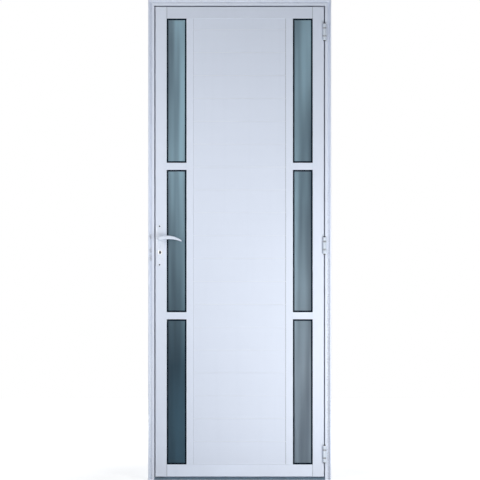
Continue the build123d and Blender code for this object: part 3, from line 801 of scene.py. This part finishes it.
def grip_mesh():
    """The grip and its neck about the spindle's axis, facing -Y, before they are run together."""
    shape = bmesh.new()
    heading = Vector((math.cos(grip_slant), math.sin(grip_slant)))
    up = Vector((-heading.y, heading.x))
    steps, segments = 36, 28
    tip_top = Vector((grip_reach, tip_height / 2 - tip_fall))
    tip_foot = Vector((grip_reach, -tip_height / 2 - tip_fall))
    tops = arc_points(up * root_radius, heading, tip_top, steps)
    feet = arc_points(-up * root_radius, heading, tip_foot, steps)
    # Each ring is (middle, up, half height, half depth): the round root, the arch, the tip
    rings = []
    for lift in (0.12, 0.35, 0.6, 0.8, 0.93):
        behind = -heading * root_radius * math.cos(math.asin(lift))
        rings.append((behind, up, root_radius * lift, grip_half_deep * (0.35 + 0.65 * lift)))
    for step, (top, foot) in enumerate(zip(tops, feet)):
        middle, half = (top + foot) / 2, (top - foot) / 2
        half_deep = grip_half_deep - tip_half_thinner * (step / steps)
        rings.append((middle, half.normalized(), half.length, half_deep))
    end, end_up, end_tall, end_deep = rings[-1]
    way = (end - rings[-2][0]).normalized()
    rings = rings[:-2]
    for share in (0.0, 0.35, 0.6, 0.8, 0.93, 0.99):
        left = 0.25 + 0.75 * math.sqrt(1 - share * share)
        blunt = 1.0 if share < 0.9 else 0.8
        rings.append((end - way * tip_run * (1 - share), end_up, end_tall * left * blunt,
                      end_deep * left))
    grip = [oval_ring(shape, *ring, segments) for ring in rings]
    # The neck from inside the plate's boss, flaring into the root and closed over in front
    neck = [upright_loop(shape, 0.0, reach, 0.0, neck_radius * flare, neck_radius * flare)
            for flare, reach in ((1.0, 0.0435), (1.0, 0.012), (1.03, 0.009), (1.10, 0.006),
                                 (1.12, 0.003), (1.0, -0.003), (0.7, -0.0052))]
    for loops in (grip, neck):
        bridge(shape, loops)
        shape.faces.new(loops[0])
        shape.faces.new(list(reversed(loops[-1])))
    bmesh.ops.recalc_face_normals(shape, faces=shape.faces)
    return as_mesh(shape, "grip")


lever_white = enamel("lever enamel", (0.73, 0.79, 0.90, 1.0), 0.3)
for side_name, face_y, way in (("front", leaf_front, -1), ("back", leaf_back, 1)):
    grip = grip_mesh()
    grip.transform(Matrix.Translation((lock_x, face_y + way * grip_stand, spindle_level))
                   @ Matrix.Diagonal((1.0, -way, 1.0, 1.0)))
    if way > 0:
        grip.flip_normals()
    holder = stand(f"{side_name}_grip", grip)
    cast = holder.modifiers.new("cast", "REMESH")
    cast.mode, cast.voxel_size, cast.use_smooth_shade = "VOXEL", cast_grain, True
    ground = holder.modifiers.new("ground", "SMOOTH")
    ground.factor, ground.iterations = 0.5, 10
    lever_mesh = plain_mesh(f"{side_name}_grip", holder)
    lever_mesh.materials.clear()
    lever_mesh.materials.append(lever_white)
    lever_mesh.shade_smooth()
    put(f"{side_name}_grip", lever_mesh, "lever", (f"{side_name}_lever",))

# Studio
# A pale floor and a white surround, soft lamps to the left and right, high up and behind, and the
# camera straight on at half the door's height.
camera_data = bpy.data.cameras.new("camera")
camera = stand("camera", camera_data)
camera.location = (0.0013, -8.0, 1.049)
camera.rotation_euler = (math.pi / 2, 0.0, 0.0)
camera_data.sensor_width, camera_data.lens = 36.0, 136.83
bpy.context.scene.camera = camera


def lamp(name, place, aim, size, power):
    """A square soft lamp that the camera and the glass don't see."""
    data = bpy.data.lights.new(name, "AREA")
    data.shape, data.size, data.energy = "SQUARE", size, power
    made = stand(name, data)
    made.location = place
    made.rotation_euler = (Vector(aim) - Vector(place)).to_track_quat("-Z", "Y").to_euler()
    made.visible_camera = made.visible_transmission = False


lamp("right lamp", (1.0, -1.8, 0.58), (0.1, 0.0, 0.58), 0.9, 25.2)
lamp("left lamp", (-0.85, -1.5, 1.30), (-0.1, 0.0, 1.30), 0.20, 6.95)
lamp("high lamp", (-0.7, -2.0, 2.40), (-0.1, 0.0, 1.95), 0.9, 5.1)
lamp("back lamp", (0.4, 2.8, 1.2), (0.0, 0.0, 1.0), 1.8, 60.0)


def seen_white(tree):
    """1 for what the camera, gloss and glass see, 0 for the light that falls on the object."""
    paths = add(tree, "ShaderNodeLightPath").outputs
    seen = reckon(tree, "MAXIMUM", paths["Is Camera Ray"], paths["Is Glossy Ray"])
    return reckon(tree, "MAXIMUM", seen, paths["Is Transmission Ray"])


cool_light, cool_strength = (0.90, 0.98, 1.08, 1.0), 0.18
world = bpy.data.worlds.new("surround")
bpy.context.scene.world = world
world.use_nodes = True
tree = world.node_tree
tree.nodes.clear()
seen = seen_white(tree)
sky = add(tree, "ShaderNodeBackground", {
    "Color": blend(tree, seen, cool_light, (1.0, 1.0, 1.0, 1.0)),
    "Strength": remap(tree, seen, 0.0, 1.0, cool_strength, 1.0)})
add(tree, "ShaderNodeOutputWorld", {"Surface": sky.outputs[0]})

floor_grey = (0.75, 0.75, 0.75, 1.0)
shade_near, shade_far, near_glow = 0.6, 1.7, 0.54
floor_material, tree, floor_place = blank("floor")
matt = add(tree, "ShaderNodeBsdfDiffuse", {"Color": floor_grey})
away = add(tree, "ShaderNodeVectorMath", {0: floor_place}, operation="LENGTH").outputs["Value"]
brightness = remap(tree, away, shade_near, shade_far, near_glow, 1.0)
glow = add(tree, "ShaderNodeEmission", {"Strength": times(tree, seen_white(tree), brightness)})
both = add(tree, "ShaderNodeAddShader", {0: matt.outputs[0], 1: glow.outputs[0]})
add(tree, "ShaderNodeOutputMaterial", {"Surface": both.outputs[0]})
floor_half = 4.0
floor_mesh = bpy.data.meshes.new("floor")
floor_mesh.from_pydata([(x, y, 0.0) for x, y in (
    (-floor_half, -floor_half), (floor_half, -floor_half), (floor_half, floor_half),
    (-floor_half, floor_half))], [], [(0, 1, 2, 3)])
floor_mesh.materials.append(floor_material)
floor = stand("floor", floor_mesh)

bpy.context.scene.view_settings.view_transform = "Standard"
